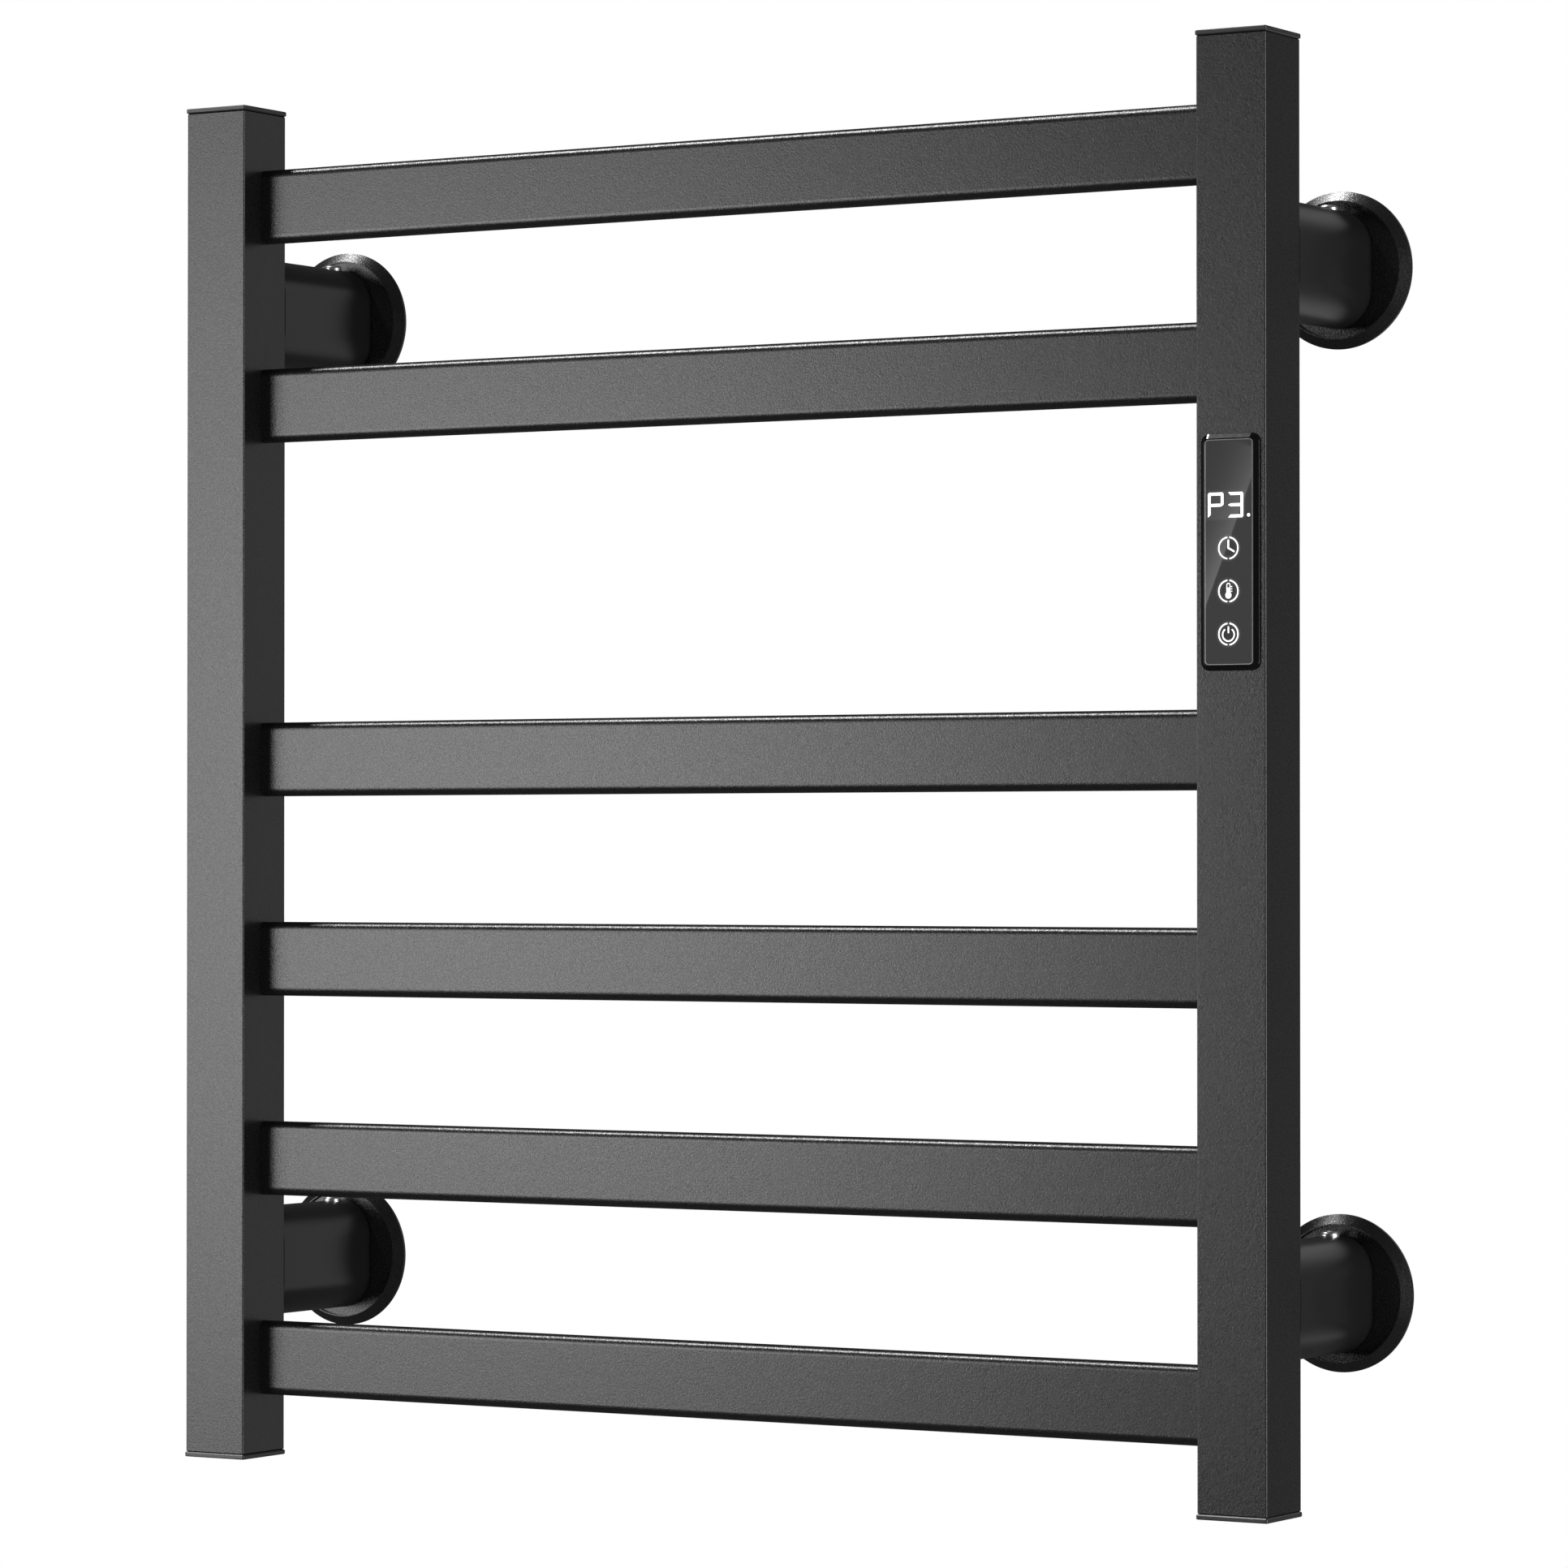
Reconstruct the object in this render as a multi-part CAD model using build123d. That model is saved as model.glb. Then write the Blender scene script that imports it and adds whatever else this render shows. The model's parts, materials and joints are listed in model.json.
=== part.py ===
from build123d import *
import os

# Wall mounted towel warmer rack, in millimetres.
# Origin: centre of the four wall fixings, on the wall plane.
# +X right, +Y into the wall, so the rack's front faces -Y, +Z up.

# Frame
frame_width = 514.0        # over the outer faces of the uprights
rung_pitch = 85.0          # between neighbouring rungs
wide_pitch = 151.0         # between the second and third rungs, the wide towel gap
end_margin = 42.5          # from a first or last rung's middle to the end of the cap
rungs_above_gap = 2
rungs_below_gap = 4
upright_side = 30.0
upright_wall = 1.5
upright_corner = 0.6
upright_end_edge = 0.5     # deburred outer edge at each cut end
rung_height = 31.5
rung_depth = 8.0
rung_wall = 1.2
rung_edge = 3.5
rung_setback = 12.0        # rung's front face behind the uprights' front

# End caps
cap_plate = 2.0
cap_overhang = 0.4
cap_corner = 0.7
cap_edge = 0.4
cap_plug_depth = 10.0
cap_plug_wall = 1.6
cap_clearance = 0.15

# Wall fixings
wall_reach = 97.5          # from the wall to the uprights' front
fixing_rise = 408.0        # between the upper and lower fixings
fixing_drop = 286.0        # from the fixings' centre down to the caps' underside
fixing_hole = 5.5
fixing_countersink = 10.0
standoff_height = 47.0
standoff_wall = 2.0
base_plate = 1.8
base_plate_margin = 1.5    # plate's radius beyond the standoff's half height
spigot_length = 20.0       # from the wall to the spigot's end
spigot_wall = 3.0
spigot_clearance = 0.3
groove_depth = 1.8         # keyway along the spigot's crown, for the locking screw's tip
groove_clearance = 0.3
seat_gap = 0.3             # standoff's end to the rosette's floor
rosette_floor = 1.1
rosette_lip_margin = 3.8   # lip's radius beyond the standoff's half height
rosette_bevel = 4.2
rosette_height = 4.4
rosette_edge = 1.2
rosette_clearance = 0.3

# Locking screws
screw_diameter = 4.0
screw_head_diameter = 7.6
screw_head_height = 2.2
screw_key = 2.5
screw_key_depth = 1.3
screw_from_wall = 11.0
screw_tip_gap = 0.2
spot_face = 0.5
spot_face_clearance = 0.5

# Control unit
panel_above_fixings = 87.4
panel_side_margin = 2.4    # bezel's side inside the upright's side
panel_height = 91.5
panel_proud = 2.0
panel_corner = 3.6
bezel_rim = 2.1            # from the bezel's side to the glass seat
bezel_side = 0.4           # upright part of the rim, below its slope
bezel_flat = 0.25          # flat part of the rim, between its slope and the glass seat
bezel_edge = 0.3           # rounding at both ends of the slope
bezel_gasket = 0.3
gasket_inset = 0.2
glass_thickness = 0.9
glass_corner = 1.7
glass_clearance = 0.1
glass_adhesive = 0.2
glass_ledge = 1.8
glass_ledge_thickness = 1.2
box_depth = 12.3           # behind the upright's front face
box_wall = 1.2
box_inset = 1.2            # box side inside the bezel's outline
box_clearance = 0.2
board_clearance = 0.3
board_thickness = 1.2
spring_room = 2.8          # between the glass ledge and the display board
cover_thickness = 1.2
cover_screw_diameter = 1.6
cover_screw_head = 2.8
cover_screw_head_height = 0.8

# Display and touch keys, measured from the panel's middle
digit_middle = 18.5
digit_module_height = 13.0
digit_side_gap = 0.2
digit_glass_gap = 0.1
key_middle = -14.8
key_pitch = 16.7
spring_diameter = 5.6
spring_wire = 0.5
spring_pitch = 1.1
lamp_width = 1.6
lamp_height = 0.8

# Power electronics
triac_width = 10.0
triac_height = 15.0
triac_thickness = 3.6
capacitor_width = 12.0
capacitor_height = 9.0
capacitor_thickness = 4.0
capacitor_above_middle = 18.0
triac_below_middle = 18.0

# Wiring
cable_diameter = 3.2
cable_clearance = 0.3
cable_passage = 4.6
link_bend_share = 0.55     # bend of the links, as a share of the largest bend that fits
cable_tail = 4.0           # straight end past the tail's bend
splice_diameter = 3.6
splice_length = 6.0
lead_diameter = 2.4
fuse_diameter = 4.6
fuse_length = 12.0
supply_lead_spacing = 7.0
supply_lead_gap = 1.0      # between the right lead and the sensor's clip
supply_lead_setback = 5.5
sensor_diameter = 4.0
sensor_length = 15.0
sensor_lead_diameter = 1.6
sensor_lead_length = 8.0
sensor_from_wall = 4.7     # probe's middle to the upright's inner side
sensor_setback = 8.5
sensor_clip_height = 8.0
sensor_clip_wall = 1.0
sensor_clip_clearance = 0.1

# Terminal block, earth and inlet
block_side_gap = 3.5       # each side, to the upright's inner face
block_front_gap = 2.7
block_height = 15.0
block_above_plug = 3.0
block_funnel = 4.2
block_funnel_depth = 6.0
earth_stud_diameter = 4.0
earth_stud_length = 8.0
earth_above_rung = 18.5    # stud above the lowest rung's middle
earth_offset = -4.0
earth_ring_diameter = 8.0
earth_ring_thickness = 0.8
earth_nut_flats = 7.0
earth_nut_height = 3.2
earth_clearance = 0.05
inlet_from_spigot = 7.2    # inlet's middle above the spigot's inner wall
inlet_hole = 8.0
grommet_bore = 6.0
grommet_flange = 11.0
grommet_flange_thickness = 1.2
upright_inlet = 10.0

# Worked out from the sizes above
front_y = -wall_reach
back_y = front_y + upright_side
upright_y = front_y + upright_side / 2
upright_x = (frame_width - upright_side) / 2
rung_length = frame_width - 2 * upright_side
rung_y = front_y + rung_setback + rung_depth / 2
bottom_z = -fixing_drop
lowest_rung_z = bottom_z + end_margin
rung_heights = [lowest_rung_z + i * rung_pitch for i in range(rungs_below_gap)]
above_gap_z = rung_heights[-1] + wide_pitch
rung_heights += [above_gap_z + i * rung_pitch for i in range(rungs_above_gap)]
top_z = rung_heights[-1] + end_margin
tube_bottom_z = bottom_z + cap_plate
tube_top_z = top_z - cap_plate
fixing_z = fixing_rise / 2
standoff_width = upright_side          # flush with the upright's sides
spigot_width = standoff_width - 2 * (standoff_wall + spigot_clearance)
spigot_height = standoff_height - 2 * (standoff_wall + spigot_clearance)
groove_floor = spigot_height / 2 - groove_depth
inlet_below_fixing = spigot_height / 2 - spigot_wall - inlet_from_spigot
rosette_face = base_plate + rosette_floor
lip_radius = standoff_height / 2 + rosette_lip_margin
rosette_radius = lip_radius + rosette_bevel
plate_radius = standoff_height / 2 + base_plate_margin
upright_inner = upright_side / 2 - upright_wall
cable_radius = cable_diameter / 2
cable_y = rung_y + rung_depth / 2 - rung_wall - cable_clearance - cable_radius
tail_x = upright_x + upright_inner - cable_clearance - cable_radius
tail_bend = tail_x - (upright_x - upright_inner)
link_bend = tail_bend * link_bend_share
link_x = upright_x - upright_inner + link_bend
tail_drop = tail_bend + cable_tail
panel_z = panel_above_fixings
panel_width = upright_side - 2 * panel_side_margin
box_width = panel_width - 2 * box_inset
box_height = panel_height - 2 * box_inset
box_back_y = front_y + box_depth
box_bottom_z = panel_z - box_height / 2
box_top_z = panel_z + box_height / 2
board_width = box_width - 2 * (box_wall + board_clearance)
board_height = box_height - 2 * (box_wall + board_clearance)
panel_front_y = front_y - panel_proud
glass_back_y = panel_front_y + glass_thickness
ledge_y = glass_back_y + glass_adhesive
ledge_back_y = ledge_y + glass_ledge_thickness
display_board_y = ledge_back_y + spring_room
cover_y = box_back_y - cover_thickness
power_board_y = cover_y - board_clearance - board_thickness
block_bottom_z = tube_bottom_z + cap_plug_depth + block_above_plug
block_top_z = block_bottom_z + block_height
block_width = 2 * (upright_inner - block_side_gap)
block_depth = 2 * upright_inner - board_clearance - block_front_gap
block_y = back_y - upright_wall - board_clearance - block_depth / 2
earth_z = lowest_rung_z + earth_above_rung
earth_x = upright_x + earth_offset
inner_back_y = back_y - upright_wall
clip_half = sensor_diameter / 2 + sensor_clip_clearance + sensor_clip_wall


def save(name, *solids):
    shape = solids[0] if len(solids) == 1 else Compound(children=list(solids))
    shape.label = name
    export_step(shape, f"parts/{name}.step")


def facing_room(x, y, z):
    """Plane square to Y: its normal points into the room, its local x to +X and its local y up."""
    return Plane(origin=(x, y, z), x_dir=(1, 0, 0), z_dir=(0, -1, 0))


def rod(x, y, z, radius, length, towards):
    """Round bar from a point, along one direction."""
    return Solid.extrude(Face(Wire.make_circle(radius, Plane(origin=(x, y, z), z_dir=towards))),
                         Vector(*towards) * length)


def block(x, y, z, width, depth, height):
    """Plain box by its middle."""
    return Pos(x, y, z) * Box(width, depth, height)


def plate(x, y, z, width, height, thickness, corner):
    """Rounded plate whose back lies at y, grown towards the room."""
    return extrude(facing_room(x, y, z) * RectangleRounded(width, height, corner), thickness)


def obround(x, y, z, width, height, length):
    """Upright obround bar whose wall end lies at y, grown towards the room."""
    return extrude(facing_room(x, y, z) * Rot(0, 0, 90) * SlotOverall(height, width), length)


def square_tube(x, z, length):
    outline = RectangleRounded(upright_side, upright_side, upright_corner)
    inner_corner = max(upright_corner - upright_wall, 0.3)
    outline -= RectangleRounded(2 * upright_inner, 2 * upright_inner, inner_corner)
    tube = extrude(Plane(origin=(x, upright_y, z)) * outline, length)
    ends = tube.faces().sort_by(Axis.Z)
    return chamfer(ends[0].outer_wire().edges() + ends[-1].outer_wire().edges(), upright_end_edge)


def upright(side):
    tube = square_tube(side * upright_x, tube_bottom_z, tube_top_z - tube_bottom_z)
    inner_face = side * (upright_x - upright_side / 2)
    for z in rung_heights:
        tube -= rod(inner_face - side, cable_y, z, cable_passage / 2, upright_wall + 2, (side, 0, 0))
    return tube


def right_upright():
    tube = upright(1)
    opening_width = box_width + 2 * box_clearance
    opening_height = box_height + 2 * box_clearance
    tube -= block(upright_x, front_y, panel_z, opening_width, 2 * upright_wall + 1, opening_height)
    tube -= rod(upright_x, inner_back_y - 1, -fixing_z, upright_inlet / 2, upright_wall + 2, (0, 1, 0))
    return tube


def rung(z):
    edge = min(rung_edge, 0.45 * rung_depth)
    outline = RectangleRounded(rung_depth, rung_height, edge)
    inner_edge = max(edge - rung_wall, 0.3)
    outline -= RectangleRounded(rung_depth - 2 * rung_wall, rung_height - 2 * rung_wall, inner_edge)
    end = Plane(origin=(-rung_length / 2, rung_y, z), x_dir=(0, 1, 0), z_dir=(1, 0, 0))
    return extrude(end * outline, rung_length)


def end_cap(side, top):
    """Plate over the tube's end with a hollow plug in the tube."""
    up = 1 if top else -1
    tube_end = tube_top_z if top else tube_bottom_z
    seat = Plane(origin=(side * upright_x, upright_y, tube_end), z_dir=(0, 0, up))
    cover = upright_side + 2 * cap_overhang
    lid = extrude(seat * RectangleRounded(cover, cover, cap_corner), cap_plate)
    sides = lid.faces().sort_by(Axis.Z)
    lid = chamfer(sides[0].edges() + sides[-1].edges(), cap_edge)
    plug = 2 * (upright_inner - cap_clearance)
    skirt = RectangleRounded(plug, plug, 1.0)
    skirt -= RectangleRounded(plug - 2 * cap_plug_wall, plug - 2 * cap_plug_wall, 0.5)
    return lid + extrude(seat * skirt, -cap_plug_depth)


def standoff(side, up):
    """Hollow obround tube from the upright's back to just clear of the rosette's floor."""
    x = side * upright_x
    z = up * fixing_z
    wall_end = -rosette_face - seat_gap
    length = wall_end - back_y
    tube = obround(x, wall_end, z, standoff_width, standoff_height, length)
    bore_width = standoff_width - 2 * standoff_wall
    bore_height = standoff_height - 2 * standoff_wall
    tube -= obround(x, wall_end, z, bore_width, bore_height, length)
    crown = z + standoff_height / 2
    seat_radius = screw_head_diameter / 2 + spot_face_clearance
    tube -= rod(x, -screw_from_wall, crown - spot_face, seat_radius, 2, (0, 0, 1))
    tube -= rod(x, -screw_from_wall, crown - 2 * standoff_wall, screw_diameter / 2, 3 * standoff_wall, (0, 0, 1))
    return tube


def wall_base(side, up, with_inlet):
    """Round plate with an open obround spigot, one central screw hole and, on one base, the inlet hole.
    A keyway runs along the spigot's crown."""
    x = side * upright_x
    z = up * fixing_z
    base = rod(x, 0, z, plate_radius, base_plate, (0, -1, 0))
    spigot = obround(x, 0, z, spigot_width, spigot_height, spigot_length)
    hollow_width = spigot_width - 2 * spigot_wall
    hollow_height = spigot_height - 2 * spigot_wall
    hollow = obround(x, -base_plate, z, hollow_width, hollow_height, spigot_length)
    groove = block(x, -spigot_length, z + groove_floor + spigot_height / 2,
                   screw_diameter + 2 * groove_clearance, 2 * (spigot_length - rosette_face), spigot_height)
    base = base + (spigot - hollow - groove)
    base -= rod(x, 1, z, fixing_hole / 2, base_plate + 2, (0, -1, 0))
    sink = Solid.make_cone(fixing_hole / 2, fixing_countersink / 2, base_plate / 2,
                           facing_room(x, -base_plate / 2, z))
    base -= sink
    if with_inlet:
        base -= rod(x, 1, z - inlet_below_fixing, inlet_hole / 2, base_plate + 2, (0, -1, 0))
    return base


def rosette(side, up):
    """Bevelled dish over the base's plate, open round the spigot, with a sunk floor inside its lip."""
    x = side * upright_x
    z = up * fixing_z
    recess = plate_radius + rosette_clearance
    profile = Polyline((recess, 0), (rosette_radius, 0), (rosette_radius, rosette_edge),
                       (lip_radius + 0.4, rosette_height), (lip_radius, rosette_height),
                       (lip_radius, rosette_face), (0, rosette_face), (0, base_plate),
                       (recess, base_plate), close=True)
    dish = revolve(Plane.XZ * make_face(profile), Axis.Z)
    dish = facing_room(x, 0, z) * dish
    hole_width = spigot_width + 2 * rosette_clearance
    hole_height = spigot_height + 2 * rosette_clearance
    return dish - obround(x, 0, z, hole_width, hole_height, rosette_height + 1)


def locking_screw(side, up):
    """Button head screw in the standoff's crown, its tip just over the keyway's floor."""
    x = side * upright_x
    seat = up * fixing_z + standoff_height / 2 - spot_face
    tip = up * fixing_z + groove_floor + screw_tip_gap
    shank = rod(x, -screw_from_wall, tip, screw_diameter / 2, seat - tip, (0, 0, 1))
    head = rod(x, -screw_from_wall, seat, screw_head_diameter / 2, screw_head_height, (0, 0, 1))
    head = fillet(head.edges().sort_by(Axis.Z)[-1], screw_head_height * 0.6)
    key = RegularPolygon(screw_key / 2, 6, major_radius=False)
    top = Plane(origin=(x, -screw_from_wall, seat + screw_head_height))
    return shank + head - extrude(top * key, -screw_key_depth)


def inlet_grommet():
    x = upright_x
    z = -fixing_z - inlet_below_fixing
    bush = rod(x, 0, z, inlet_hole / 2, base_plate, (0, -1, 0))
    bush += rod(x, -base_plate, z, grommet_flange / 2, grommet_flange_thickness, (0, -1, 0))
    return bush - rod(x, 1, z, grommet_bore / 2, base_plate + grommet_flange_thickness + 2, (0, -1, 0))


def control_bezel():
    """Sloped frame round the glass, its glass ledge, and the box walls behind it."""
    rim_back = front_y - bezel_gasket
    rim_thickness = rim_back - panel_front_y
    frame = plate(upright_x, rim_back, panel_z, panel_width, panel_height, rim_thickness, panel_corner)
    face = frame.faces().sort_by(Axis.Y)[0]
    frame = chamfer(face.edges(), bezel_rim - bezel_flat, rim_thickness - bezel_side, reference=face)
    slope_ends = frame.faces().sort_by(Axis.Y)[0].edges()
    slope_ends += frame.edges().filter_by_position(Axis.Y, rim_back - bezel_side, rim_back - bezel_side)
    frame = fillet(slope_ends, bezel_edge)
    walls = plate(upright_x, cover_y, panel_z, box_width, box_height, cover_y - rim_back, box_wall)
    cavity_width = box_width - 2 * box_wall
    cavity_height = box_height - 2 * box_wall
    cavity = block(upright_x, (cover_y + ledge_back_y) / 2, panel_z,
                   cavity_width, cover_y - ledge_back_y, cavity_height)
    seat_width = panel_width - 2 * bezel_rim
    seat_height = panel_height - 2 * bezel_rim
    seat = plate(upright_x, ledge_y, panel_z, seat_width, seat_height, ledge_y - panel_front_y, glass_corner)
    window = block(upright_x, ledge_y, panel_z, seat_width - 2 * glass_ledge,
                   4 * glass_ledge_thickness, seat_height - 2 * glass_ledge)
    return frame + walls - cavity - seat - window


def bezel_gasket_ring():
    width = panel_width - 2 * gasket_inset
    height = panel_height - 2 * gasket_inset
    ring = plate(upright_x, front_y, panel_z, width, height, bezel_gasket, panel_corner - gasket_inset)
    return ring - plate(upright_x, front_y, panel_z, box_width, box_height, bezel_gasket, box_wall)


def touch_glass():
    width = panel_width - 2 * (bezel_rim + glass_clearance)
    height = panel_height - 2 * (bezel_rim + glass_clearance)
    return plate(upright_x, glass_back_y, panel_z, width, height, glass_thickness, glass_corner)


def glass_adhesive_ring():
    width = panel_width - 2 * (bezel_rim + glass_clearance)
    height = panel_height - 2 * (bezel_rim + glass_clearance)
    ring = plate(upright_x, ledge_y, panel_z, width, height, glass_adhesive, glass_corner)
    return ring - block(upright_x, ledge_y, panel_z, width - 2 * glass_ledge + 0.4, 2,
                        height - 2 * glass_ledge + 0.4)


def display_board():
    middle = display_board_y + board_thickness / 2
    return block(upright_x, middle, panel_z, board_width, board_thickness, board_height)


def digit_display():
    """Light guide block that stands on the display board and fills the window behind the glass."""
    front = glass_back_y + digit_glass_gap
    width = panel_width - 2 * (bezel_rim + glass_ledge + digit_side_gap)
    return block(upright_x, (front + display_board_y) / 2, panel_z + digit_middle, width,
                 display_board_y - front, digit_module_height)


def key_heights():
    return [panel_z + key_middle + i * key_pitch for i in (-1, 0, 1)]


def touch_springs():
    """Coil springs that carry the touch pads from the display board to the glass."""
    coils = []
    length = display_board_y - glass_back_y - spring_wire
    for z in key_heights():
        path = Helix(pitch=spring_pitch, height=length, radius=(spring_diameter - spring_wire) / 2)
        section = Plane(origin=path @ 0, z_dir=path % 0) * Circle(spring_wire / 2)
        coil = sweep(section, path=path, is_frenet=True)
        coils.append(facing_room(upright_x, display_board_y - spring_wire / 2, z) * coil)
    return coils


def key_lamps():
    return [block(upright_x, display_board_y - lamp_height / 2, z, lamp_width, lamp_height, lamp_width)
            for z in key_heights()]


def power_board():
    middle = power_board_y + board_thickness / 2
    return block(upright_x, middle, panel_z, board_width, board_thickness, board_height)


def triac():
    """Flat power switch that lies on the board, its tab upwards."""
    z = panel_z - triac_below_middle
    body = block(upright_x, power_board_y - triac_thickness / 2, z, triac_width, triac_thickness, triac_height * 0.6)
    tab_height = triac_height * 0.4
    tab = block(upright_x, power_board_y - 0.6, z + triac_height * 0.3 + tab_height / 2, triac_width, 1.2, tab_height)
    return body + tab - rod(upright_x, power_board_y + 1, z + triac_height * 0.3 + tab_height / 2, 1.6, 4, (0, -1, 0))


def capacitor():
    body = block(upright_x, power_board_y - capacitor_thickness / 2, panel_z + capacitor_above_middle,
                 capacitor_width, capacitor_thickness, capacitor_height)
    return fillet(body.edges().filter_by(Axis.Y), 0.8)


def cover_screw_places():
    reach = box_height / 2 - box_wall - 4.0
    return [panel_z - reach, panel_z + reach]


def box_cover():
    cover = plate(upright_x, box_back_y, panel_z, box_width, box_height, cover_thickness, box_wall)
    for z in cover_screw_places():
        cover -= rod(upright_x, box_back_y + 1, z, cover_screw_diameter / 2, 4, (0, -1, 0))
    return cover


def cover_screws():
    """Two small screws through the cover into the power board."""
    screws = []
    for z in cover_screw_places():
        reach = box_back_y - power_board_y - board_thickness
        shank = rod(upright_x, box_back_y, z, cover_screw_diameter / 2, reach, (0, -1, 0))
        head = rod(upright_x, box_back_y, z, cover_screw_head / 2, cover_screw_head_height, (0, 1, 0))
        screws.append(shank + head)
    return screws


def cable_route():
    """Corners of the heating cable's path: down one rung's length, along an upright, and back."""
    levels = rung_heights[::-1]
    corners = [(tail_x, levels[0] - tail_drop)]
    side = 1
    for i, z in enumerate(levels):
        start = tail_x if i == 0 else side * link_x
        end = tail_x if i == len(levels) - 1 else -side * link_x
        corners += [(start, z), (end, z)]
        side = -side
    corners.append((tail_x, levels[-1] + tail_drop))
    return [(x, cable_y, z) for x, z in corners]


def heating_cable():
    corners = cable_route()
    radii = [link_bend] * (len(corners) - 2)
    radii[0] = tail_bend
    radii[-1] = tail_bend
    path = FilletPolyline(*corners, radius=radii)
    section = Plane(origin=path @ 0, z_dir=path % 0) * Circle(cable_radius)
    print("heating cable length", round(path.length, 1), "bends", round(link_bend, 1), round(tail_bend, 1))
    return sweep(section, path=path)


def upper_joint_z():
    return rung_heights[-1] - tail_drop


def lower_joint_z():
    return rung_heights[0] + tail_drop


def cable_splices():
    upper = rod(tail_x, cable_y, upper_joint_z(), splice_diameter / 2, splice_length, (0, 0, -1))
    lower = rod(tail_x, cable_y, lower_joint_z(), splice_diameter / 2, splice_length, (0, 0, 1))
    return [upper, lower]


def fuse_place():
    upper_end = upper_joint_z() - splice_length
    return (upper_end + box_top_z) / 2


def lead_x():
    return upright_x + box_width / 2 - lead_diameter / 2 - 0.2


def cold_lead(low_z, high_z):
    """Straight upright lead between two levels, in line with the box's end."""
    return rod(lead_x(), cable_y, low_z, lead_diameter / 2, high_z - low_z, (0, 0, 1))


def upper_cold_lead():
    """Two lengths in line: splice to fuse, and fuse to the board's level."""
    fuse_z = fuse_place()
    upper = cold_lead(fuse_z + fuse_length / 2, upper_joint_z() - splice_length)
    lower = cold_lead(box_top_z, fuse_z - fuse_length / 2)
    return [upper, lower]


def lower_cold_lead():
    return cold_lead(lower_joint_z() + splice_length, box_bottom_z)


def thermal_fuse():
    z = fuse_place()
    return rod(lead_x(), cable_y, z - fuse_length / 2, fuse_diameter / 2, fuse_length, (0, 0, 1))


def supply_leads():
    """Two leads from the terminal block up to the control box."""
    y = front_y + supply_lead_setback
    right_x = sensor_place()[0] - clip_half - supply_lead_gap - lead_diameter / 2
    return [rod(x, y, block_top_z, lead_diameter / 2, box_bottom_z - block_top_z, (0, 0, 1))
            for x in (right_x - supply_lead_spacing, right_x)]


def sensor_place():
    return upright_x + upright_inner - sensor_from_wall, front_y + sensor_setback, box_bottom_z - sensor_lead_length


def temperature_sensor():
    x, y, top = sensor_place()
    probe = rod(x, y, top, sensor_diameter / 2, sensor_length, (0, 0, -1))
    return fillet(probe.edges().sort_by(Axis.Z)[0], sensor_diameter * 0.4)


def sensor_lead():
    x, y, top = sensor_place()
    return rod(x, y, top, sensor_lead_diameter / 2, sensor_lead_length, (0, 0, 1))


def sensor_clip():
    """Block on the upright's inner side wall with a bore round the probe."""
    x, y, top = sensor_place()
    wall_x = upright_x + upright_inner
    middle_x = (x - clip_half + wall_x) / 2
    width = wall_x - x + clip_half
    body = block(middle_x, y, top - sensor_length / 2, width, 2 * clip_half, sensor_clip_height)
    return body - rod(x, y, top - sensor_length, sensor_diameter / 2 + sensor_clip_clearance,
                      sensor_length, (0, 0, 1))


def terminal_block():
    """Three way block with wire funnels on top."""
    body = block(upright_x, block_y, (block_bottom_z + block_top_z) / 2, block_width, block_depth, block_height)
    for x in (-1, 0, 1):
        body -= rod(upright_x + x * block_width / 3, block_y, block_bottom_z, block_funnel / 2,
                    block_funnel_depth, (0, 0, 1))
    return fillet(body.edges().filter_by(Axis.Z), 0.8)


def earth_stud():
    return rod(earth_x, inner_back_y, earth_z, earth_stud_diameter / 2, earth_stud_length, (0, -1, 0))


def earth_ring():
    """Ring terminal on the stud, with its barrel pointing down."""
    hole = earth_stud_diameter / 2 + earth_clearance
    ring = rod(earth_x, inner_back_y, earth_z, earth_ring_diameter / 2, earth_ring_thickness, (0, -1, 0))
    tongue = block(earth_x, inner_back_y - earth_ring_thickness / 2, earth_z - earth_ring_diameter / 2,
                   earth_ring_diameter / 2, earth_ring_thickness, earth_ring_diameter)
    return ring + tongue - rod(earth_x, inner_back_y + 1, earth_z, hole, 4, (0, -1, 0))


def earth_nut():
    seat = inner_back_y - earth_ring_thickness
    blank = extrude(facing_room(earth_x, seat, earth_z) * RegularPolygon(earth_nut_flats / 2, 6, major_radius=False),
                    earth_nut_height)
    hole = earth_stud_diameter / 2 + earth_clearance
    return blank - rod(earth_x, seat + 1, earth_z, hole, earth_nut_height + 2, (0, -1, 0))


def earth_lead():
    """From the ring's tongue down to the terminal block."""
    radius = lead_diameter / 2
    y = inner_back_y - earth_ring_thickness - radius
    top = earth_z - earth_ring_diameter
    return rod(earth_x, y, block_top_z, radius, top + 2.0 - block_top_z, (0, 0, 1))


os.makedirs("parts", exist_ok=True)

save("left_upright", upright(-1))
save("right_upright", right_upright())
for number, level in enumerate(rung_heights[::-1], 1):
    save(f"rung_{number}", rung(level))

for side_name, side_sign in (("left", -1), ("right", 1)):
    save(f"end_cap_top_{side_name}", end_cap(side_sign, True))
    save(f"end_cap_bottom_{side_name}", end_cap(side_sign, False))
    for row_name, row_sign in (("upper", 1), ("lower", -1)):
        place = f"{row_name}_{side_name}"
        save(f"standoff_{place}", standoff(side_sign, row_sign))
        save(f"wall_base_{place}", wall_base(side_sign, row_sign, place == "lower_right"))
        save(f"rosette_{place}", rosette(side_sign, row_sign))
save("locking_screws", *[locking_screw(x, z) for x in (-1, 1) for z in (-1, 1)])
save("inlet_grommet", inlet_grommet())

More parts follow.
